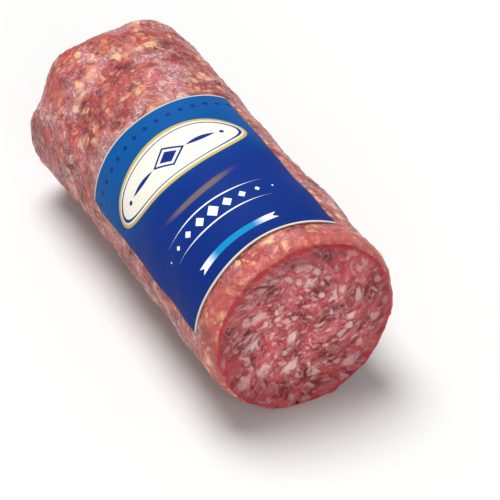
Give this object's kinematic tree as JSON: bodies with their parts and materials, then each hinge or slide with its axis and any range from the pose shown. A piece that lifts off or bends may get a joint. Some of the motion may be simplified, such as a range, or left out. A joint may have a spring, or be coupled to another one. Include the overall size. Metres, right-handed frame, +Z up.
{
  "type": "cured sausage",
  "caption": "Round cured sausage lying on its side, cut flat at one end, gathered and clipped at the other, with a curved paper label.",
  "frame": {"origin": "on the surface the sausage rests on, under the middle of its length", "axes": "+Y along the sausage from the cut face to the clipped end, +Z up, +X to the right when looking at the cut face"},
  "size_m": [0.0681, 0.171, 0.0661],
  "materials": {
    "cured_meat": "satin",
    "printed_paper": "satin",
    "clip_metal": "satin"
  },
  "bodies": {
    "root": {"sausage": "cured_meat", "label": "printed_paper", "end_clip": "clip_metal"}
  },
  "joints": []
}
